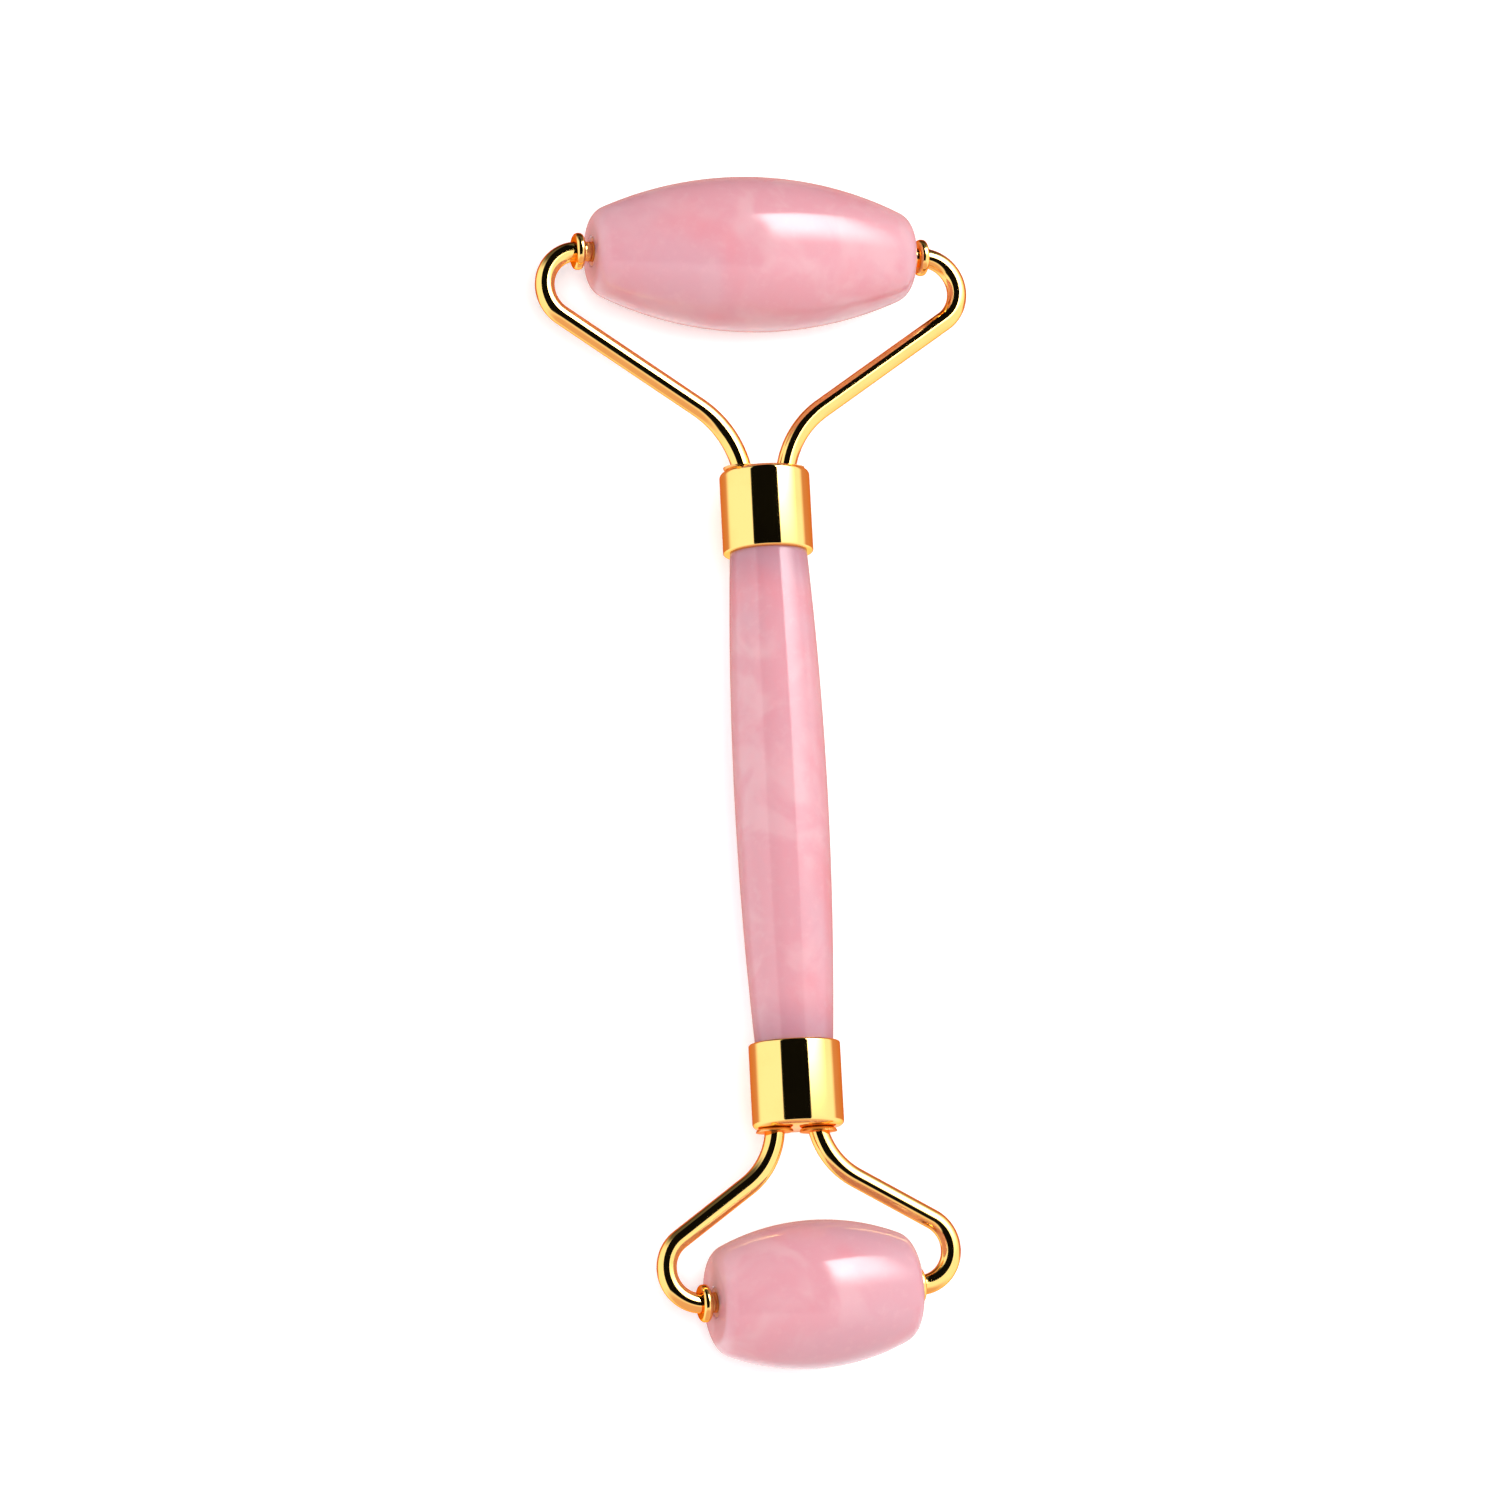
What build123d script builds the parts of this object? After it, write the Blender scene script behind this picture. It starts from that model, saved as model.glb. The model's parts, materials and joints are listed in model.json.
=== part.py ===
from build123d import *
from dataclasses import dataclass
from math import asin, atan2, cos, degrees, hypot, radians, sin, tan
import os

# Two-ended stone face roller, in millimetres. It lies as on a table: the handle runs along Y, the
# roller axes run along X, Z is up and z = 0 is the lowest point of the larger roller.
# The large roller is at +Y and the small one at -Y.

# ---- driving dimensions ----

# polished stone handle, a barrel-shaped bar with a glued spigot at each end
handle_length = 59.9          # between the two ferrules
handle_middle_diameter = 11.3
handle_end_diameter = 9.4
spigot_chamfer = 0.4

# plated cup ferrules
ferrule_length = 10.2
ferrule_wall = 1.0
ferrule_end_wall = 1.5        # the wall that carries the rods
ferrule_mouth_edge = 0.7      # rounding on the fork side
ferrule_rim_edge = 0.3        # rounding on the handle side
shoulder_seat = 0.2           # width of rim that the handle's shoulder sits on
glue_gap = 0.15               # adhesive film round the spigot

# bent rods, brazed through the ferrule's end wall
rod_diameter = 2.4
rod_inset = 0.7               # from the ferrule's bore to the rods
rod_tail = 1.7                # rod standing inside the cup
tail_clearance = 0.8          # from the rods' ends to the spigot
rod_tip_chamfer = 0.3
braze_width = 0.55            # fillet of braze at each rod's foot
braze_height = 0.5
braze_taper = 35

# pivots
collar_overhang = 1.05        # how far a collar stands out round its rod
collar_thickness = 1.1
collar_edge = 0.45
journal_length = 5.0          # rod standing inside the roller
journal_clearance = 0.05      # radial running fit
bush_wall = 0.5
bush_length = 6.0
bush_recess = 0.3             # below the roller's end face
bore_chamfer = 0.35


@dataclass
class End:
    """One end of the tool: its fork and its roller. Fork coordinates start at the ferrule's mouth."""

    name: str
    direction: int            # +1 for the end at +Y
    lean: float               # turn of the fork in its own plane, degrees
    foot_shift: float         # of the fork along X, from the middle of the ferrule's mouth
    foot_bend: float          # bend radii of the rod's centre line
    foot_height: float        # from the mouth to the rod's first corner
    shoulder_bend: float
    pin_distance: float       # from the mouth to the roller's axis
    stone_length: float
    stone_diameter: float
    stone_end_diameter: float
    stone_edge: float
    end_float: float          # free play between collar and stone, each side
    right_seat: float = 0.0   # how much nearer to the stone the right collar was brazed

    @property
    def barrel_radius(self):
        """Radius of the arc that the stone's side follows."""
        half, rise = self.stone_length / 2, (self.stone_diameter - self.stone_end_diameter) / 2
        return (half**2 + rise**2) / (2 * rise)

    @property
    def roller_reach(self):
        """From the roller's centre to its furthest point along Y, with the lean."""
        return self.barrel_radius - (self.barrel_radius - self.stone_diameter / 2) * cos(radians(self.lean))

    @property
    def mouth(self):
        """From the middle of the handle to the ferrule's mouth."""
        return handle_length / 2 + ferrule_length

    @property
    def reach(self):
        """From the middle of the handle to the end of the tool."""
        return self.mouth + self.pin_distance * cos(radians(self.lean)) + self.roller_reach

    @property
    def collar_place(self):
        """From the tool's middle plane to the collar's inner face."""
        return self.stone_length / 2 + self.end_float

    @property
    def shoulder_centre(self):
        """Where the centre of the rod's outer bend stands, in fork coordinates."""
        return self.collar_place + collar_thickness / 2, self.pin_distance - self.shoulder_bend

    @property
    def rod_slope(self):
        """Angle of the rod's straight run, which touches the outer bend."""
        across = self.shoulder_centre[0] - rod_offset
        up = self.shoulder_centre[1] - self.foot_height
        return atan2(up, across) - asin(self.shoulder_bend / hypot(across, up))

    @property
    def shoulder_corner(self):
        """Distance from the middle plane to the corner that the outer bend rounds off."""
        return self.shoulder_centre[0] + self.shoulder_bend / tan(self.rod_slope / 2)


large = End("large", 1, lean=0.5, foot_shift=0.0, foot_bend=12.0, foot_height=4.45, shoulder_bend=4.4,
            pin_distance=27.35, stone_length=40.6, stone_diameter=19.0, stone_end_diameter=9.6,
            stone_edge=2.5, end_float=1.1)
small = End("small", -1, lean=3.1, foot_shift=-0.3, foot_bend=9.0, foot_height=3.83, shoulder_bend=4.2,
            pin_distance=19.9, stone_length=24.6, stone_diameter=17.6, stone_end_diameter=11.8,
            stone_edge=2.4, end_float=0.7, right_seat=0.5)

# ---- sizes that follow ----

ferrule_bore = handle_end_diameter - 2 * shoulder_seat
ferrule_diameter = ferrule_bore + 2 * ferrule_wall
spigot_diameter = ferrule_bore - 2 * glue_gap
cup_depth = ferrule_length - ferrule_end_wall
spigot_length = cup_depth - rod_tail - tail_clearance
rod_offset = ferrule_bore / 2 - rod_inset - rod_diameter / 2
collar_diameter = rod_diameter + 2 * collar_overhang
bush_bore = rod_diameter + 2 * journal_clearance
bush_diameter = bush_bore + 2 * bush_wall
axis_height = max(large.stone_diameter, small.stone_diameter) / 2
handle_middle = (small.reach - large.reach) / 2    # puts y = 0 midway between the two ends


def ferrule_plane(end):
    """On the ferrule's mouth, facing back along the handle."""
    place = (0, handle_middle + end.direction * end.mouth, axis_height)
    return Plane(origin=place, x_dir=(1, 0, 0), z_dir=(0, -end.direction, 0))


def fork_plane(end):
    """The fork's own plane: y points along the fork from the ferrule's mouth, x across it."""
    lean = radians(end.lean)
    across = (end.direction * cos(lean), end.direction * sin(lean), 0)
    foot = ferrule_plane(end).origin + Vector(end.foot_shift, 0, 0)
    return Plane(origin=foot, x_dir=across, z_dir=(0, 0, 1))


def pin_plane(end, side, distance):
    """Square to the roller's axis on one side of the middle plane, facing outwards."""
    fork = fork_plane(end)
    place = fork.from_local_coords((side * distance, end.pin_distance, 0))
    return Plane(origin=place, x_dir=fork.z_dir, z_dir=fork.x_dir * side)


def side_name(end, side):
    return "right" if side * end.direction > 0 else "left"


# ---- handle ----

def make_handle():
    half = handle_length / 2
    tip = half + spigot_length
    along = Plane(origin=(0, handle_middle, axis_height), x_dir=(0, 1, 0), z_dir=(0, 0, 1))
    with BuildPart() as handle:
        with BuildSketch(along):
            with BuildLine():
                Polyline((half, handle_end_diameter / 2), (half, spigot_diameter / 2),
                         (tip, spigot_diameter / 2), (tip, 0), (-tip, 0),
                         (-tip, spigot_diameter / 2), (-half, spigot_diameter / 2),
                         (-half, handle_end_diameter / 2))
                ThreePointArc((-half, handle_end_diameter / 2), (0, handle_middle_diameter / 2),
                              (half, handle_end_diameter / 2))
            make_face()
        revolve(axis=Axis(along.origin, along.x_dir))
        chamfer(handle.faces().sort_by(Axis.Y)[0].edges(), spigot_chamfer)
        chamfer(handle.faces().sort_by(Axis.Y)[-1].edges(), spigot_chamfer)
    handle.part.label = "handle_bar"
    export_step(handle.part, "parts/handle_bar.step")


# ---- fork: rods, ferrule, adhesive and braze ----

def make_rod(end, side):
    fork = fork_plane(end)
    foot = -(ferrule_end_wall + rod_tail)
    tip = end.stone_length / 2 - journal_length
    with BuildPart() as rod:
        with BuildLine(fork):
            FilletPolyline((side * rod_offset, foot), (side * rod_offset, end.foot_height),
                           (side * end.shoulder_corner, end.pin_distance), (side * tip, end.pin_distance),
                           radius=[end.foot_bend, end.shoulder_bend])
        with BuildSketch(Plane(origin=fork.from_local_coords((side * rod_offset, foot, 0)), z_dir=fork.y_dir)):
            Circle(rod_diameter / 2)
        sweep()
        tip_face = rod.faces().sort_by_distance(pin_plane(end, side, tip).origin)[0]
        chamfer(tip_face.edges(), rod_tip_chamfer)
    rod.part.label = f"{end.name}_{side_name(end, side)}_rod"
    export_step(rod.part, f"parts/{rod.part.label}.step")
    return rod.part


def make_ferrule(end, rods):
    mouth = ferrule_plane(end)
    with BuildPart() as ferrule:
        with BuildSketch(mouth):
            Circle(ferrule_diameter / 2)
        extrude(amount=ferrule_length)
        rings = ferrule.edges().filter_by(GeomType.CIRCLE).sort_by_distance(mouth.origin)
        fillet(rings[0], ferrule_mouth_edge)
        fillet(rings[-1], ferrule_rim_edge)
        with BuildSketch(mouth.offset(ferrule_end_wall)):
            Circle(ferrule_bore / 2)
        extrude(amount=cup_depth, mode=Mode.SUBTRACT)
        for rod in rods:
            add(rod, mode=Mode.SUBTRACT)
    ferrule.part.label = f"{end.name}_ferrule"
    export_step(ferrule.part, f"parts/{ferrule.part.label}.step")


def make_adhesive(end, rods):
    """Cured adhesive: a bed round the rods' ends and a film round the handle's spigot."""
    mouth = ferrule_plane(end)
    with BuildPart() as adhesive:
        with BuildSketch(mouth.offset(ferrule_end_wall)):
            Circle(ferrule_bore / 2)
        extrude(amount=cup_depth)
        with BuildSketch(mouth.offset(ferrule_length - spigot_length)):
            Circle(spigot_diameter / 2)
        extrude(amount=spigot_length, mode=Mode.SUBTRACT)
        for rod in rods:
            add(rod, mode=Mode.SUBTRACT)
    adhesive.part.label = f"{end.name}_adhesive"
    export_step(adhesive.part, f"parts/{adhesive.part.label}.step")


def make_braze(end, rods):
    """A fillet of braze round the foot of each rod."""
    start = end.foot_bend * tan((radians(90) - end.rod_slope) / 2) - end.foot_height
    drift = end.foot_bend * (1 - cos(asin(start / end.foot_bend)))    # sideways, by the mouth
    outside = Plane(origin=fork_plane(end).origin, x_dir=(1, 0, 0), z_dir=(0, end.direction, 0))
    with BuildPart() as braze:
        with BuildSketch(outside):
            with Locations((rod_offset + drift, 0), (-rod_offset - drift, 0)):
                Circle(rod_diameter / 2 + braze_width)
        extrude(amount=braze_height, taper=braze_taper)
        for rod in rods:
            add(rod, mode=Mode.SUBTRACT)
    braze.part.label = f"{end.name}_braze"
    export_step(braze.part, f"parts/{braze.part.label}.step")


# ---- pivots and rollers ----

def make_collar(end, side, rod):
    """A stop ring on the rod. Its bore follows the start of the rod's bend."""
    with BuildPart() as collar:
        seat = end.right_seat if side_name(end, side) == "right" else 0
        with BuildSketch(pin_plane(end, side, end.collar_place - seat)):
            Circle(collar_diameter / 2)
        extrude(amount=collar_thickness)
        fillet(collar.edges().filter_by(GeomType.CIRCLE), collar_edge)
        add(rod, mode=Mode.SUBTRACT)
    collar.part.label = f"{end.name}_{side_name(end, side)}_collar"
    export_step(collar.part, f"parts/{collar.part.label}.step")


def make_bush(end, side):
    with BuildPart() as bush:
        with BuildSketch(pin_plane(end, side, end.stone_length / 2 - bush_recess - bush_length)):
            Circle(bush_diameter / 2)
            Circle(bush_bore / 2, mode=Mode.SUBTRACT)
        extrude(amount=bush_length)
    bush.part.label = f"{end.name}_{side_name(end, side)}_bush"
    export_step(bush.part, f"parts/{bush.part.label}.step")


def make_stone(end):
    """The barrel roller, drilled from end to end for its bushes."""
    half, tip = end.stone_length / 2, end.stone_end_diameter / 2
    fork = fork_plane(end)
    along = Plane(origin=fork.from_local_coords((0, end.pin_distance, 0)), x_dir=fork.x_dir, z_dir=fork.z_dir)
    with BuildPart() as stone:
        with BuildSketch(along):
            with BuildLine():
                Polyline((-half, tip), (-half, 0), (half, 0), (half, tip))
                ThreePointArc((-half, tip), (0, end.stone_diameter / 2), (half, tip))
            make_face()
        revolve(axis=Axis(along.origin, along.x_dir))
        fillet(stone.faces().filter_by(GeomType.PLANE).edges(), end.stone_edge)
        with BuildSketch(pin_plane(end, 1, -half)):
            Circle(bush_diameter / 2)
        extrude(amount=end.stone_length, mode=Mode.SUBTRACT)
        rings = stone.faces().filter_by(GeomType.PLANE).edges().filter_by(GeomType.CIRCLE)
        chamfer(rings.group_by(SortBy.RADIUS)[0], bore_chamfer)
    stone.part.label = f"{end.name}_roller_stone"
    export_step(stone.part, f"parts/{stone.part.label}.step")


os.makedirs("parts", exist_ok=True)
make_handle()
for end in (large, small):
    rods = {side: make_rod(end, side) for side in (-1, 1)}
    make_ferrule(end, rods.values())
    make_adhesive(end, rods.values())
    make_braze(end, rods.values())
    for side in (-1, 1):
        make_collar(end, side, rods[side])
        make_bush(end, side)
    make_stone(end)
    pin = fork_plane(end).from_local_coords((0, end.pin_distance, 0))
    print(end.name, "roller axis through", [round(value, 4) for value in pin], "along",
          [round(value, 6) for value in fork_plane(end).x_dir], "rod slope", round(degrees(end.rod_slope), 2))
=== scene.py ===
import json
import math

import bmesh
import bpy
from mathutils import Matrix, Vector


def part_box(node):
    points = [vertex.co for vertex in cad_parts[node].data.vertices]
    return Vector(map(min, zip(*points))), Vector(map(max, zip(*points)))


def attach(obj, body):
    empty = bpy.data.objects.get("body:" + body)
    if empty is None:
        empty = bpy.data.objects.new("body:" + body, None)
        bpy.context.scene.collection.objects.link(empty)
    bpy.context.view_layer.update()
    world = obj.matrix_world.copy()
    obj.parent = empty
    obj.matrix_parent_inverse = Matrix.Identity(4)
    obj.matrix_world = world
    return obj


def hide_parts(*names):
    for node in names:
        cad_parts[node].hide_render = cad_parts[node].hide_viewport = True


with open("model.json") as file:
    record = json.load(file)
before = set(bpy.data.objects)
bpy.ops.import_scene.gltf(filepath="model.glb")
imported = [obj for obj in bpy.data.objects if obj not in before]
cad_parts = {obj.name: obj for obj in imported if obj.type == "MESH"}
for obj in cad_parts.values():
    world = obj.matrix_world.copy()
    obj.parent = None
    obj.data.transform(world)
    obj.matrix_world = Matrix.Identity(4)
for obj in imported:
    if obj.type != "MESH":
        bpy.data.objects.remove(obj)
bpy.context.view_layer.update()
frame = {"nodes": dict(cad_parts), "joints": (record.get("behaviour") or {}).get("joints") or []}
mm = 0.001
degree = math.radians(1)
mergeDistance = 0.0005 * mm
scene = bpy.context.scene
print("frame loaded:", len(frame["nodes"]), "CAD nodes")


def linear(hexColour):    # sRGB hex to the linear colour that shaders take
    parts = [int(hexColour[i:i + 2], 16) / 255 for i in (1, 3, 5)]
    return [c / 12.92 if c <= 0.04045 else ((c + 0.055) / 1.055) ** 2.4 for c in parts] + [1.0]


# An input is a value, a socket, or a node, which gives its first output in use.
def addNode(tree, kind, inputs=None, **settings):
    node = tree.nodes.new(kind)
    for name, value in settings.items():
        setattr(node, name, value)
    for name, value in (inputs or {}).items():
        if isinstance(name, int):
            socket = node.inputs[name]
        else:
            socket = next(i for i in node.inputs if i.enabled and i.name == name)
        if isinstance(value, bpy.types.Node):
            value = next(output for output in value.outputs if output.enabled)
        if isinstance(value, bpy.types.NodeSocket):
            tree.links.new(value, socket)
        else:
            socket.default_value = value
    return node


# A level times some soft edges. An edge is a value, where it starts and ends, and its share before and after.
def softEdges(tree, level, edges, unit=1.0):
    for value, start, end, before, after in edges:
        edge = addNode(tree, "ShaderNodeMapRange", {
            "Value": value, "From Min": start * unit, "From Max": end * unit, "To Min": before, "To Max": after},
            interpolation_type="SMOOTHSTEP")
        level = addNode(tree, "ShaderNodeMath", {0: level, 1: edge}, operation="MULTIPLY")
    return level


def newMaterial(name):
    material = bpy.data.materials.new(name)
    material.use_nodes = True
    material.node_tree.nodes.clear()
    return material, material.node_tree


def finishPiece(bm, name, place, material, body, node, sharpAngle=50):
    bmesh.ops.remove_doubles(bm, verts=bm.verts, dist=mergeDistance)
    bmesh.ops.transform(bm, matrix=place, verts=bm.verts)
    bmesh.ops.recalc_face_normals(bm, faces=bm.faces)
    mesh = bpy.data.meshes.new(name)
    bm.to_mesh(mesh)
    bm.free()
    mesh.shade_smooth()
    mesh.set_sharp_from_angle(angle=sharpAngle * degree)
    mesh.materials.append(material)
    piece = bpy.data.objects.new(name, mesh)
    scene.collection.objects.link(piece)
    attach(piece, body)
    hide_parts(node)


# An outline is drawn in mm in the XY plane, with X along the turning axis, and then turned round X.
def lineTo(bm, vert, x, y):
    new = bmesh.ops.extrude_vert_indiv(bm, verts=[vert])["verts"][0]
    new.co = (x, y, 0)
    return new


def arcTo(bm, vert, centre, degrees, steps):
    out = bmesh.ops.spin(bm, geom=[vert], cent=(*centre, 0), axis=(0, 0, 1), angle=degrees * degree, steps=steps,
                         use_merge=False, use_duplicate=False)
    return [v for v in out["geom_last"] if isinstance(v, bmesh.types.BMVert)][0]


def turnOutline(bm, steps):
    bmesh.ops.scale(bm, vec=(mm, mm, mm), verts=bm.verts)
    bmesh.ops.spin(bm, geom=bm.verts[:] + bm.edges[:], cent=(0, 0, 0), axis=(1, 0, 0), angle=math.tau, steps=steps,
                   use_merge=True, use_duplicate=False)
    bmesh.ops.remove_doubles(bm, verts=bm.verts, dist=mergeDistance)


cameraSettings = {
    "aim": (-3.25, 1.75, 8.5),    # mm, the point in the middle of the picture
    "fromLeft": 16.93,            # degrees round the handle
    "fromSmallEnd": 10.06,
    "roll": 2.96,
    "distance": 683.8,            # mm
    "lens": 135.8,
    "sensor": 36,
}


def makeCamera(s):
    turn = (Matrix.Rotation(s["roll"] * degree, 4, "Z") @ Matrix.Rotation(-s["fromSmallEnd"] * degree, 4, "X")
            @ Matrix.Rotation(s["fromLeft"] * degree, 4, "Y")).transposed()
    data = bpy.data.cameras.new("camera")
    data.lens = s["lens"]
    data.sensor_width = s["sensor"]
    camera = bpy.data.objects.new("camera", data)
    back = turn @ Vector((0, 0, 1))
    camera.matrix_world = Matrix.Translation((Vector(s["aim"]) + back * s["distance"]) * mm) @ turn
    scene.collection.objects.link(camera)
    scene.camera = camera


makeCamera(cameraSettings)
print("camera made")


# Polished metal shows the studio itself: pale walls, a dark ceiling over the camera that gives the black band,
# and one bright softbox to the right of it. Soft light for the matt surfaces comes from the whole dome and
# from a wide fill overhead, so the table stays pale and almost free of shadow.
# Each edge runs from nothing to full, in degrees from straight up: across is to the right, and along is
# towards the large roller.
studioSettings = {
    "walls": 1.25,
    "farWall": (35, 60),          # along, where the walls darken towards the large roller's end
    "farWallShare": 0.1,
    "nearWall": (-24, -56),       # along, where they dim and turn warm towards the small roller's end
    "nearWallShare": 0.8,
    "nearWallWarmth": 0.75,
    "dark": 0.004,                # the ceiling over the camera
    "darkAcross": ((-54, -51), (19, 16)),
    "darkAlong": ((-36, -28), (120, 100)),
    "under": ((-120, -142), (82, 100)),    # across, where it is dim and warm in the shade below the parts
    "underAlong": (-9, 3),        # along, where that shade begins; the table in front of it is bright
    "underShare": 0.72,
    "underColour": "#E9A58C",
    "softbox": 11.0,
    "softboxTurn": 39.5,          # degrees to the right of straight up
    # The softbox's edges, in units of its distance.
    "softboxAcross": ((-0.43, -0.38), (0.6, -0.2)),
    "softboxAlong": ((0.02, 0.56), (1.1, 1.0)),
    "dome": 0.5,                  # what the matt surfaces get
    "domeFar": (20, 70),          # along
    "domeFarShare": 0.6,
}


def makeWorld(s):
    world = bpy.data.worlds.new("studio")
    world.use_nodes = True
    scene.world = world
    tree = world.node_tree
    tree.nodes.clear()
    direction = addNode(tree, "ShaderNodeTexCoord").outputs["Generated"]
    x, y, z = addNode(tree, "ShaderNodeSeparateXYZ", {"Vector": direction}).outputs
    across = addNode(tree, "ShaderNodeMath", {0: x, 1: z}, operation="ARCTAN2")
    along = addNode(tree, "ShaderNodeMath", {0: y}, operation="ARCSINE")

    left, right = [softEdges(tree, 1.0, [(across, *edge, 0, 1)], degree) for edge in s["under"]]
    under = addNode(tree, "ShaderNodeMath", {0: left, 1: right}, operation="MAXIMUM")
    under = softEdges(tree, under, [(along, *s["underAlong"], 0, 1)], degree)
    walls = softEdges(tree, s["walls"], [(under, 0, 1, 1, s["underShare"])])
    walls = softEdges(tree, walls, [(along, *s["farWall"], 1, s["farWallShare"]),
                                    (along, *s["nearWall"], 1, s["nearWallShare"])], degree)
    dark = softEdges(tree, 1.0, [(across, *edge, 0, 1) for edge in s["darkAcross"]]
                     + [(along, *edge, 0, 1) for edge in s["darkAlong"]], degree)
    walls = addNode(tree, "ShaderNodeMix", {"Factor": dark, "A": walls, "B": s["dark"]}, data_type="FLOAT")

    # The softbox is a flat panel: a ray meets it at so much to the side and along, over how far off it is.
    turn = s["softboxTurn"] * degree
    depth, side = [addNode(tree, "ShaderNodeVectorMath", {0: direction, 1: way}, operation="DOT_PRODUCT")
                   for way in ((math.sin(turn), 0, math.cos(turn)), (math.cos(turn), 0, -math.sin(turn)))]
    depth = addNode(tree, "ShaderNodeMath", {0: depth, 1: 0.01}, operation="MAXIMUM")
    panelAcross, panelAlong = [addNode(tree, "ShaderNodeMath", {0: way, 1: depth}, operation="DIVIDE")
                               for way in (side, y)]
    softbox = softEdges(tree, s["softbox"], [(panelAcross, *edge, 0, 1) for edge in s["softboxAcross"]]
                        + [(panelAlong, *edge, 0, 1) for edge in s["softboxAlong"]])
    mirrored = addNode(tree, "ShaderNodeMath", {0: softbox, 1: walls}, operation="ADD")

    dome = softEdges(tree, s["dome"], [(along, *s["domeFar"], 1, s["domeFarShare"])], degree)
    glossy = addNode(tree, "ShaderNodeLightPath").outputs["Is Glossy Ray"]
    level = addNode(tree, "ShaderNodeMix", {"Factor": glossy, "A": dome, "B": mirrored}, data_type="FLOAT")
    near = softEdges(tree, 1.0, [(along, *s["nearWall"], 0, s["nearWallWarmth"])], degree)
    warm = addNode(tree, "ShaderNodeMath", {0: under, 1: near}, operation="MAXIMUM")
    warm = addNode(tree, "ShaderNodeMath", {0: warm, 1: glossy}, operation="MULTIPLY")
    colour = addNode(tree, "ShaderNodeMix", {"Factor": warm, "A": linear("#FFFFFF"), "B": linear(s["underColour"])},
                     data_type="RGBA")
    background = addNode(tree, "ShaderNodeBackground", {"Color": colour, "Strength": level})
    addNode(tree, "ShaderNodeOutputWorld", {"Surface": background})


fillSettings = {                  # power in watts, the rest in mm
    "overheadFill": {"power": 10.5, "size": 700, "place": (-330, -180, 1250)},
    "softboxSpill": {"power": 3.2, "size": 600, "place": (520, 220, 560)},
}


def makeFill(name, s):
    data = bpy.data.lights.new(name, "AREA")
    data.shape = "DISK"
    data.size = s["size"] * mm
    data.energy = s["power"]
    fill = bpy.data.objects.new(name, data)
    place = Vector(s["place"]) * mm
    fill.matrix_world = Matrix.Translation(place) @ place.to_track_quat("Z", "Y").to_matrix().to_4x4()
    fill.visible_glossy = False
    fill.visible_camera = False
    scene.collection.objects.link(fill)


makeWorld(studioSettings)
for name, s in fillSettings.items():
    makeFill(name, s)
scene.view_settings.view_transform = "Standard"
print("light made")


# Rose quartz, ground and polished: milky pink with soft pale clouds a centimetre across, rosier patches, a fine
# mottle and a few faint healed cracks. Light goes a few millimetres in, under a glassy surface.
quartzSettings = {
    "patterns": {                 # mm, the size of each, and how it is drawn
        "cloud": (7.0, {"Detail": 3.0, "Roughness": 0.5, "Distortion": 0.7}),
        "patch": (13.0, {"Detail": 2.0, "Roughness": 0.5, "Distortion": 0.4}),
        "drift": (30.0, {"Detail": 1.0}),
        "mottle": (1.3, {"Detail": 4.0, "Roughness": 0.6}),
        "crack": (13.0, {"Detail": 1.0, "Distortion": 0.3}),
        "ripple": (1.4, {"Detail": 2.0}),    # what the polishing wheel leaves
    },
    "pink": "#D99AA4",
    "layers": (                   # pattern, where in it the layer starts and is full, its most, and its colour
        ("cloud", 0.42, 0.64, 0.7, "#DDABB2"),
        ("drift", 0.48, 0.6, 0.8, "#D19EA9"),
        ("patch", 0.5, 0.7, 0.7, "#DC8C96"),
        ("mottle", 0.5, 0.75, 0.3, "#DDABB2"),
    ),
    "crackWidth": (0.022, 0.001), "crackMost": 0.22, "crackPlace": (0.52, 0.64), "healed": "#E6B8BE",
    "rough": (0.09, 0.15),
    "depth": 3.0,                 # mm that red light travels inside
    "rippleHeight": 0.004,        # mm
    "shaded": "#AE7888",
}
# The bar looks mauve near the cups, because its ends go into them and take in no light there: where that starts
# and is full, in mm from the bar's middle, and its most.
quartzShade = {"polishedRoseQuartz": None, "polishedRoseQuartzBar": (23.5, 30.5, 0.75)}


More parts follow.
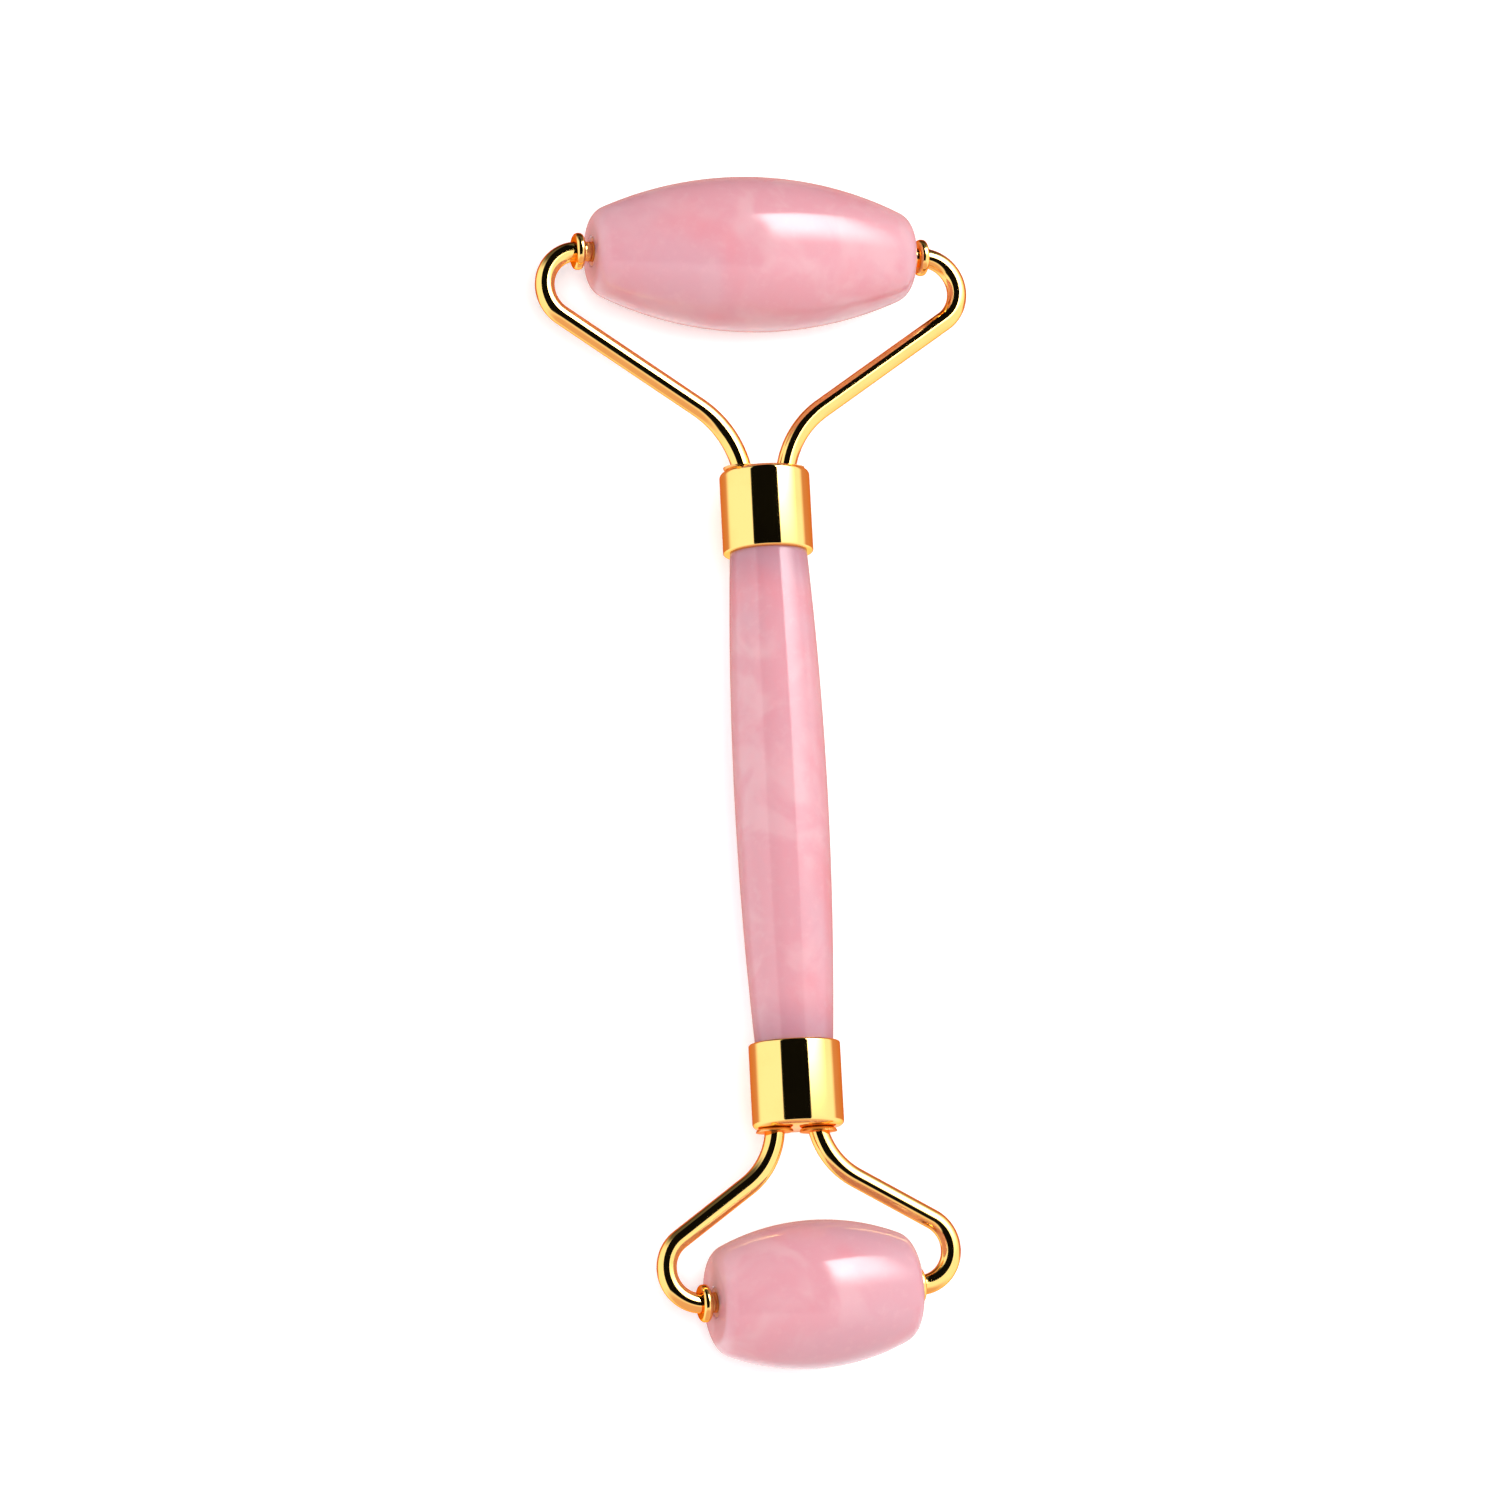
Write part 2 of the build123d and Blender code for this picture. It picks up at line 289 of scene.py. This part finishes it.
def makeQuartz(name, shade, s):
    material, tree = newMaterial(name)
    place = addNode(tree, "ShaderNodeTexCoord").outputs["Object"]
    pattern = {key: addNode(tree, "ShaderNodeTexNoise", {"Vector": place, "Scale": 1 / (size * mm), **drawn})
               for key, (size, drawn) in s["patterns"].items()}
    layers = [(softEdges(tree, 1.0, [(pattern[key], start, full, 0, most)]), colour)
              for key, start, full, most, colour in s["layers"]]
    # A healed crack is a curved sheet: the line along which a slow noise passes its middle value.
    fromMiddle = addNode(tree, "ShaderNodeMath", {0: pattern["crack"], 1: 0.5}, operation="SUBTRACT")
    fromMiddle = addNode(tree, "ShaderNodeMath", {0: fromMiddle}, operation="ABSOLUTE")
    layers.append((softEdges(tree, 1.0, [(fromMiddle, *s["crackWidth"], 0, s["crackMost"]),
                                         (pattern["patch"], *s["crackPlace"], 0, 1)]), s["healed"]))
    if shade:
        start, full, most = shade
        low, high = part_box("handle_bar")
        alongBar = addNode(tree, "ShaderNodeSeparateXYZ", {"Vector": place}).outputs["Y"]
        fromMiddle = addNode(tree, "ShaderNodeMath", {0: alongBar, 1: (low.y + high.y) / 2}, operation="SUBTRACT")
        fromMiddle = addNode(tree, "ShaderNodeMath", {0: fromMiddle}, operation="ABSOLUTE")
        layers.append((softEdges(tree, 1.0, [(fromMiddle, start * mm, full * mm, 0, most)]), s["shaded"]))
    colour = linear(s["pink"])
    for share, over in layers:
        colour = addNode(tree, "ShaderNodeMix", {"Factor": share, "A": colour, "B": linear(over)}, data_type="RGBA")
    smooth, dull = s["rough"]
    rough = addNode(tree, "ShaderNodeMapRange", {"Value": pattern["cloud"], "To Min": smooth, "To Max": dull})
    bump = addNode(tree, "ShaderNodeBump", {"Height": pattern["ripple"], "Strength": 0.3,
                                            "Distance": s["rippleHeight"] * mm})
    shader = addNode(tree, "ShaderNodeBsdfPrincipled", {
        "Base Color": colour, "Roughness": rough, "IOR": 1.544, "Normal": bump, "Subsurface Weight": 0.45,
        "Subsurface Radius": (1.0, 0.42, 0.48), "Subsurface Scale": s["depth"] * mm})
    addNode(tree, "ShaderNodeOutputMaterial", {"Surface": shader})
    return material


# Gold plating over polished brass: a mirror with a warm tint that turns orange where it is seen edge on. The plating
# is a little redder and duller where it is thin, in patches three times the size of the polishing waves (grain, mm).
goldSettings = {
    "ferrule": {"name": "goldPlatedCup", "colour": "#FFDA86", "thin": "#F9D07A", "edgeOn": "#FFCC9A",
                "rough": (0.045, 0.085), "grain": 2.4, "wave": 0.004},
    "rod": {"name": "goldPlatedWire", "colour": "#FFD680", "thin": "#F6CA74", "edgeOn": "#FF9A5C",
            "rough": (0.05, 0.10), "grain": 1.6, "wave": 0.006},
    "collar": {"name": "goldPlatedCollar", "colour": "#FFD680", "thin": "#F6CA74", "edgeOn": "#FF9A5C",
               "rough": (0.05, 0.10), "grain": 1.2, "wave": 0.004},
    "braze": {"name": "platedBraze", "colour": "#F3BE7C", "thin": "#DE9A60", "edgeOn": "#FFA878",
              "rough": (0.24, 0.38), "grain": 0.6, "wave": 0.012},
}


def makeGold(s):
    material, tree = newMaterial(s["name"])
    place = addNode(tree, "ShaderNodeTexCoord").outputs["Object"]
    wave = addNode(tree, "ShaderNodeTexNoise", {"Vector": place, "Scale": 1 / (s["grain"] * mm), "Detail": 3.0})
    wear = addNode(tree, "ShaderNodeTexNoise", {"Vector": place, "Scale": 1 / (s["grain"] * 3 * mm), "Detail": 4.0,
                                                "Roughness": 0.6})
    share = addNode(tree, "ShaderNodeMapRange", {"Value": wear, "From Min": 0.45, "From Max": 0.75, "To Max": 0.6})
    colour = addNode(tree, "ShaderNodeMix", {"Factor": share, "A": linear(s["colour"]), "B": linear(s["thin"])},
                     data_type="RGBA")
    rough = addNode(tree, "ShaderNodeMapRange", {"Value": wear, "From Min": 0.35, "From Max": 0.7,
                                                 "To Min": s["rough"][0], "To Max": s["rough"][1]})
    bump = addNode(tree, "ShaderNodeBump", {"Height": wave, "Strength": 0.3, "Distance": s["wave"] * mm})
    shader = addNode(tree, "ShaderNodeBsdfPrincipled", {
        "Base Color": colour, "Metallic": 1.0, "Roughness": rough, "Specular Tint": linear(s["edgeOn"]),
        "Normal": bump})
    addNode(tree, "ShaderNodeOutputMaterial", {"Surface": shader})
    return material


# Nylon 6, turned from rod: waxy, with a fine mottle. Its orange-pink colour is partly the nylon's own and partly
# painted reflection, standing in for the warm glow that the gold rod and collars throw into the bore.
nylonSettings = {"light": "#F0A88C", "deep": "#E08F74", "mottle": 0.6, "toolMarks": 0.01, "depth": 0.5}    # mm


def makeNylon(s):
    material, tree = newMaterial("turnedNylonAndPaintedGlow")
    place = addNode(tree, "ShaderNodeTexCoord").outputs["Object"]
    mottle = addNode(tree, "ShaderNodeTexNoise", {"Vector": place, "Scale": 1 / (s["mottle"] * mm), "Detail": 3.0})
    # The light and deep tones carry the painted warm glow from the gold as well as the nylon's mottle.
    colour = addNode(tree, "ShaderNodeMix", {"Factor": mottle, "A": linear(s["light"]), "B": linear(s["deep"])},
                     data_type="RGBA")
    bump = addNode(tree, "ShaderNodeBump", {"Height": mottle, "Strength": 0.3, "Distance": s["toolMarks"] * mm})
    shader = addNode(tree, "ShaderNodeBsdfPrincipled", {
        "Base Color": colour, "Roughness": 0.42, "IOR": 1.53, "Normal": bump, "Subsurface Weight": 0.4,
        "Subsurface Scale": s["depth"] * mm})
    addNode(tree, "ShaderNodeOutputMaterial", {"Surface": shader})
    return material


# Two-part epoxy, cured: glossy, slightly amber, with small trapped bubbles.
epoxySettings = {"bubble": "#F3EBDD", "clear": "#E4D4B8", "bubbleSize": 0.7}    # mm


def makeEpoxy(s):
    material, tree = newMaterial("curedEpoxy")
    place = addNode(tree, "ShaderNodeTexCoord").outputs["Object"]
    bubble = addNode(tree, "ShaderNodeTexVoronoi", {"Vector": place, "Scale": 1 / (s["bubbleSize"] * mm)})
    share = addNode(tree, "ShaderNodeMapRange", {"Value": bubble.outputs["Distance"], "From Min": 0.1, "From Max": 0.3})
    colour = addNode(tree, "ShaderNodeMix", {"Factor": share, "A": linear(s["bubble"]), "B": linear(s["clear"])},
                     data_type="RGBA")
    shader = addNode(tree, "ShaderNodeBsdfPrincipled", {"Base Color": colour, "Roughness": 0.18, "IOR": 1.55})
    addNode(tree, "ShaderNodeOutputMaterial", {"Surface": shader})
    return material


quartz, barQuartz = [makeQuartz(name, shade, quartzSettings) for name, shade in quartzShade.items()]
gold = {name: makeGold(s) for name, s in goldSettings.items()}
nylon = makeNylon(nylonSettings)
epoxy = makeEpoxy(epoxySettings)
for name, node in frame["nodes"].items():
    node.data.materials.clear()
    node.data.materials.append(epoxy if name.endswith("_adhesive") else quartz)
print("materials made")


endSettings = {                   # mm, what differs between the two ends
    "large": {"direction": 1, "footBend": 12.0, "footHeight": 4.45, "shoulderBend": 4.4, "pinDistance": 27.35,
              "stoneLength": 40.6, "stoneDiameter": 19.0, "stoneEndDiameter": 9.6, "stoneEdge": 2.5, "endFloat": 1.1,
              "rightSeat": 0.0},
    "small": {"direction": -1, "footBend": 9.0, "footHeight": 3.83, "shoulderBend": 4.2, "pinDistance": 19.9,
              "stoneLength": 24.6, "stoneDiameter": 17.6, "stoneEndDiameter": 11.8, "stoneEdge": 2.4, "endFloat": 0.7,
              "rightSeat": 0.5},    # how much nearer to the stone the right collar is
}


def placeEnd(name, s):    # the roller's place and the fork's, both from the joint, and the ferrule's mouth
    joint = next(j for j in frame["joints"] if j["name"] == name + "_roller_spin")
    up = Vector((0, 0, 1))
    across = Vector(joint["axis"]).normalized()
    centre = Vector(joint["pos_m"])
    s["rollerPlace"] = Matrix.Translation(centre) @ Matrix((across, up.cross(across), up)).transposed().to_4x4()
    across = across * s["direction"]
    forward = up.cross(across)
    foot = centre - forward * s["pinDistance"] * mm
    s["forkPlace"] = Matrix.Translation(foot) @ Matrix((across, forward, up)).transposed().to_4x4()
    s["collarPlace"] = s["stoneLength"] / 2 + s["endFloat"]
    low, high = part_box(name + "_ferrule")
    s["mouth"] = Vector(((low.x + high.x) / 2, high.y if s["direction"] > 0 else low.y, (low.z + high.z) / 2))


def sideName(end, side):
    return "right" if side * endSettings[end]["direction"] > 0 else "left"


for name, s in endSettings.items():
    placeEnd(name, s)


handleSettings = {"length": 59.9, "middleDiameter": 11.3, "endDiameter": 9.4, "spigotDiameter": 8.7,
                  "spigotLength": 6.2, "spigotChamfer": 0.4, "bowSteps": 64, "sides": 96}


def makeHandle(s):
    low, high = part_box("handle_bar")
    half, tip = s["length"] / 2, s["length"] / 2 + s["spigotLength"]
    endR, midR, spigotR = s["endDiameter"] / 2, s["middleDiameter"] / 2, s["spigotDiameter"] / 2
    cut = s["spigotChamfer"]
    bow = (half ** 2 + (midR - endR) ** 2) / (2 * (midR - endR))    # radius of the bar's long curve
    sweep = 2 * math.asin(half / bow) / degree
    bm = bmesh.new()
    v = bm.verts.new((-tip, 0, 0))
    v = lineTo(bm, v, -tip, spigotR - cut)
    v = lineTo(bm, v, -tip + cut, spigotR)
    v = lineTo(bm, v, -half, spigotR)
    v = lineTo(bm, v, -half, endR)
    v = arcTo(bm, v, (0, midR - bow), -sweep, s["bowSteps"])
    v = lineTo(bm, v, half, spigotR)
    v = lineTo(bm, v, tip - cut, spigotR)
    v = lineTo(bm, v, tip, spigotR - cut)
    lineTo(bm, v, tip, 0)
    turnOutline(bm, s["sides"])
    place = Matrix.Translation((low + high) / 2) @ Matrix.Rotation(math.pi / 2, 4, "Z")
    finishPiece(bm, "handleBar", place, barQuartz, "handle", "handle_bar", sharpAngle=35)


makeHandle(handleSettings)
print("handle made")


ferruleSettings = {"length": 10.2, "diameter": 11.0, "bore": 9.0, "endWall": 1.5, "mouthEdge": 0.7, "rimEdge": 0.3,
                   "sides": 96}


def makeFerrule(end, s):
    e = endSettings[end]
    outer, bore, length = s["diameter"] / 2, s["bore"] / 2, s["length"]
    bm = bmesh.new()    # X runs from the mouth back along the handle
    v = bm.verts.new((0, 0, 0))
    v = lineTo(bm, v, 0, outer - s["mouthEdge"])
    v = arcTo(bm, v, (s["mouthEdge"], outer - s["mouthEdge"]), -90, 10)
    v = lineTo(bm, v, length - s["rimEdge"], outer)
    v = arcTo(bm, v, (length - s["rimEdge"], outer - s["rimEdge"]), -90, 6)
    v = lineTo(bm, v, length, bore)
    v = lineTo(bm, v, s["endWall"], bore)
    lineTo(bm, v, s["endWall"], 0)
    turnOutline(bm, s["sides"])
    place = Matrix.Translation(e["mouth"]) @ Matrix.Rotation(-math.pi / 2 * e["direction"], 4, "Z")
    finishPiece(bm, end + "Ferrule", place, gold["ferrule"], "handle", end + "_ferrule")


for end in endSettings:
    makeFerrule(end, ferruleSettings)
print("ferrules made")


rodSettings = {"diameter": 2.4, "offset": 2.6, "tail": 3.2, "journal": 5.0, "tipChamfer": 0.3, "sides": 40}
collarSettings = {"diameter": 4.5, "thickness": 1.1, "edge": 0.45, "sides": 64}


def runOn(bm, edges, x, y):    # a straight run of the rod's last ring
    out = bmesh.ops.extrude_edge_only(bm, edges=edges)["geom"]
    bmesh.ops.translate(bm, vec=(x, y, 0), verts=[g for g in out if isinstance(g, bmesh.types.BMVert)])
    return [g for g in out if isinstance(g, bmesh.types.BMEdge)]


def bendOn(bm, edges, centre, angle, steps):
    out = bmesh.ops.spin(bm, geom=edges, cent=(*centre, 0), axis=(0, 0, 1), angle=angle, steps=steps,
                         use_merge=False, use_duplicate=False)["geom_last"]
    return [g for g in out if isinstance(g, bmesh.types.BMEdge)]


def shapeFork(e, offset, collarThickness):    # one straight arm between the foot's bend and the shoulder's
    e["bendX"] = e["collarPlace"] + collarThickness / 2
    e["bendY"] = e["pinDistance"] - e["shoulderBend"]
    run, rise = e["bendX"] - offset, e["bendY"] - e["footHeight"]
    e["slope"] = math.atan2(rise, run) - math.asin(e["shoulderBend"] / math.hypot(run, rise))
    e["footStart"] = e["footHeight"] - e["footBend"] * math.tan((math.pi / 2 - e["slope"]) / 2)


def makeRod(end, side, s):
    e = endSettings[end]
    tip = e["stoneLength"] / 2 - s["journal"]
    bm = bmesh.new()
    start = Matrix.Translation((s["offset"], -s["tail"], 0)) @ Matrix.Rotation(-math.pi / 2, 4, "X")
    bmesh.ops.create_circle(bm, segments=s["sides"], radius=s["diameter"] / 2, cap_ends=False, matrix=start)
    foot = bm.edges[:]
    edges = runOn(bm, foot, 0, s["tail"] + e["footStart"])
    edges = bendOn(bm, edges, (s["offset"] + e["footBend"], e["footStart"]), -(math.pi / 2 - e["slope"]), 20)
    armX = s["offset"] + e["footBend"] * (1 - math.sin(e["slope"]))
    armY = e["footStart"] + e["footBend"] * math.cos(e["slope"])
    touchX = e["bendX"] + e["shoulderBend"] * math.sin(e["slope"])
    touchY = e["bendY"] - e["shoulderBend"] * math.cos(e["slope"])
    edges = runOn(bm, edges, touchX - armX, touchY - armY)
    edges = bendOn(bm, edges, (e["bendX"], e["bendY"]), math.pi - e["slope"], 36)
    edges = runOn(bm, edges, tip - e["bendX"], 0)
    bmesh.ops.holes_fill(bm, edges=foot + edges, sides=0)
    bmesh.ops.bevel(bm, geom=edges, offset=s["tipChamfer"], offset_type="OFFSET", affect="EDGES", segments=2,
                    profile=0.5, material=-1)
    bmesh.ops.scale(bm, vec=(side * mm, mm, mm), verts=bm.verts)
    where = sideName(end, side)
    finishPiece(bm, end + where.capitalize() + "Rod", e["forkPlace"], gold["rod"], "handle",
                f"{end}_{where}_rod", sharpAngle=45)


for end, e in endSettings.items():
    shapeFork(e, rodSettings["offset"], collarSettings["thickness"])
    for side in (-1, 1):
        makeRod(end, side, rodSettings)
print("rods made")


brazeSettings = {"width": 0.55, "height": 0.5, "sunk": 0.15, "intoRod": 0.1, "sides": 40}


def makeBraze(end, s):
    e = endSettings[end]
    angle = math.asin(-e["footStart"] / e["footBend"])    # how far the rod has turned at the mouth
    x = rodSettings["offset"] + e["footBend"] * (1 - math.cos(angle))
    rodR = rodSettings["diameter"] / 2
    inner, outer = rodR - s["intoRod"], rodR + s["width"]
    whole = bmesh.new()
    for side in (-1, 1):
        bm = bmesh.new()    # X runs out of the mouth
        v = bm.verts.new((-s["sunk"], inner, 0))
        v = lineTo(bm, v, -s["sunk"], outer)
        v = lineTo(bm, v, 0, outer)
        v = arcTo(bm, v, (s["height"], outer), -90, 8)
        v = lineTo(bm, v, s["height"] + s["intoRod"], inner)
        lineTo(bm, v, -s["sunk"], inner)
        bmesh.ops.remove_doubles(bm, verts=bm.verts, dist=mergeDistance / mm)
        turnOutline(bm, s["sides"])
        # The ring sits flat on the mouth and leans with the rod.
        foot = e["forkPlace"] @ Vector((side * x * mm, 0, 0))
        rodWay = e["forkPlace"].to_3x3() @ Vector((side * math.sin(angle), math.cos(angle), 0))
        lean = Matrix.Identity(4)
        lean[0][1] = rodWay.x / rodWay.y
        foot.x += (e["mouth"].y - foot.y) * lean[0][1]
        place = Matrix.Translation((foot.x, e["mouth"].y, foot.z)) @ lean
        place = place @ Matrix.Rotation(e["direction"] * math.pi / 2, 4, "Z")
        bmesh.ops.transform(bm, matrix=place, verts=bm.verts)
        ring = bpy.data.meshes.new("brazeRing")
        bm.to_mesh(ring)
        bm.free()
        whole.from_mesh(ring)
        bpy.data.meshes.remove(ring)
    finishPiece(whole, end + "Braze", Matrix.Identity(4), gold["braze"], "handle", end + "_braze")


for end in endSettings:
    makeBraze(end, brazeSettings)
print("braze made")


def makeCollar(end, side, s):
    e = endSettings[end]
    inner, outer, half, edge = rodSettings["diameter"] / 2, s["diameter"] / 2, s["thickness"] / 2, s["edge"]
    bm = bmesh.new()
    start = bm.verts.new((-half, inner, 0))
    v = lineTo(bm, start, -half, outer - edge)
    v = arcTo(bm, v, (-half + edge, outer - edge), -90, 8)
    v = lineTo(bm, v, half - edge, outer)
    v = arcTo(bm, v, (half - edge, outer - edge), -90, 8)
    v = lineTo(bm, v, half, inner)
    bm.edges.new((v, start))
    turnOutline(bm, s["sides"])
    where = sideName(end, side)
    sign = side * e["direction"]
    seat = e["collarPlace"] - (e["rightSeat"] if where == "right" else 0)
    place = e["rollerPlace"] @ Matrix.Translation((sign * (seat + half) * mm, 0, 0))
    finishPiece(bm, end + where.capitalize() + "Collar", place, gold["collar"], "handle",
                f"{end}_{where}_collar")


bushSettings = {"diameter": 3.5, "bore": 2.5, "length": 6.0, "recess": 0.15, "sides": 48}


def makeBush(end, side, s):
    e = endSettings[end]
    inner, outer, length = s["bore"] / 2, s["diameter"] / 2, s["length"]
    bm = bmesh.new()
    start = bm.verts.new((0, inner, 0))
    v = lineTo(bm, start, 0, outer)
    v = lineTo(bm, v, length, outer)
    v = lineTo(bm, v, length, inner)
    bm.edges.new((v, start))
    turnOutline(bm, s["sides"])
    where = sideName(end, side)
    turn = 0 if side * e["direction"] > 0 else math.pi
    inside = e["stoneLength"] / 2 - s["recess"] - length
    place = e["rollerPlace"] @ Matrix.Rotation(turn, 4, "Z") @ Matrix.Translation((inside * mm, 0, 0))
    finishPiece(bm, end + where.capitalize() + "Bush", place, nylon, end + "_roller",
                f"{end}_{where}_bush")


for end in endSettings:
    for side in (-1, 1):
        makeCollar(end, side, collarSettings)
        makeBush(end, side, bushSettings)
print("collars and bushes made")


stoneSettings = {"boreChamfer": 0.2, "edgeSteps": 14, "bowSteps": 72, "sides": 128}


def makeStone(end, s):
    e = endSettings[end]
    half, middleR, endR = e["stoneLength"] / 2, e["stoneDiameter"] / 2, e["stoneEndDiameter"] / 2
    edge, bore, cut = e["stoneEdge"], bushSettings["diameter"] / 2, s["boreChamfer"]
    bow = (half ** 2 + (middleR - endR) ** 2) / (2 * (middleR - endR))    # radius of the long side
    edgeX = half - edge                         # the edge's arc touches the end face and the long side
    edgeY = middleR - bow + math.sqrt((bow - edge) ** 2 - edgeX ** 2)
    lean = math.atan2(edgeX, edgeY - (middleR - bow)) / degree
    bm = bmesh.new()
    start = bm.verts.new((-half + cut, bore, 0))
    v = lineTo(bm, start, -half, bore + cut)
    v = lineTo(bm, v, -half, edgeY)
    v = arcTo(bm, v, (-edgeX, edgeY), -(90 - lean), s["edgeSteps"])
    v = arcTo(bm, v, (0, middleR - bow), -2 * lean, s["bowSteps"])
    v = arcTo(bm, v, (edgeX, edgeY), -(90 - lean), s["edgeSteps"])
    v = lineTo(bm, v, half, bore + cut)
    v = lineTo(bm, v, half - cut, bore)
    bm.edges.new((v, start))
    turnOutline(bm, s["sides"])
    finishPiece(bm, end + "RollerStone", e["rollerPlace"], quartz, end + "_roller",
                end + "_roller_stone", sharpAngle=30)


for end in endSettings:
    makeStone(end, stoneSettings)
print("stones made")


# Opal acrylic table, matt and lit from behind a little, so the shadows on it stay faint. Gloss on the parts shows
# the studio's walls in its place.
tableSettings = {"size": 6000, "colour": "#F7F7F7", "glow": 0.22}


def makeTable(s):
    material, tree = newMaterial("opalAcrylic")
    shader = addNode(tree, "ShaderNodeBsdfPrincipled", {
        "Base Color": linear(s["colour"]), "Roughness": 0.9, "Specular IOR Level": 0.0,
        "Emission Color": linear("#FFFFFF"), "Emission Strength": s["glow"]})
    addNode(tree, "ShaderNodeOutputMaterial", {"Surface": shader})
    bm = bmesh.new()
    bmesh.ops.create_grid(bm, x_segments=1, y_segments=1, size=s["size"] / 2 * mm)
    mesh = bpy.data.meshes.new("floor")
    bm.to_mesh(mesh)
    bm.free()
    mesh.materials.append(material)
    floor = bpy.data.objects.new("floor", mesh)
    floor.visible_glossy = False
    scene.collection.objects.link(floor)


makeTable(tableSettings)
print("table made")
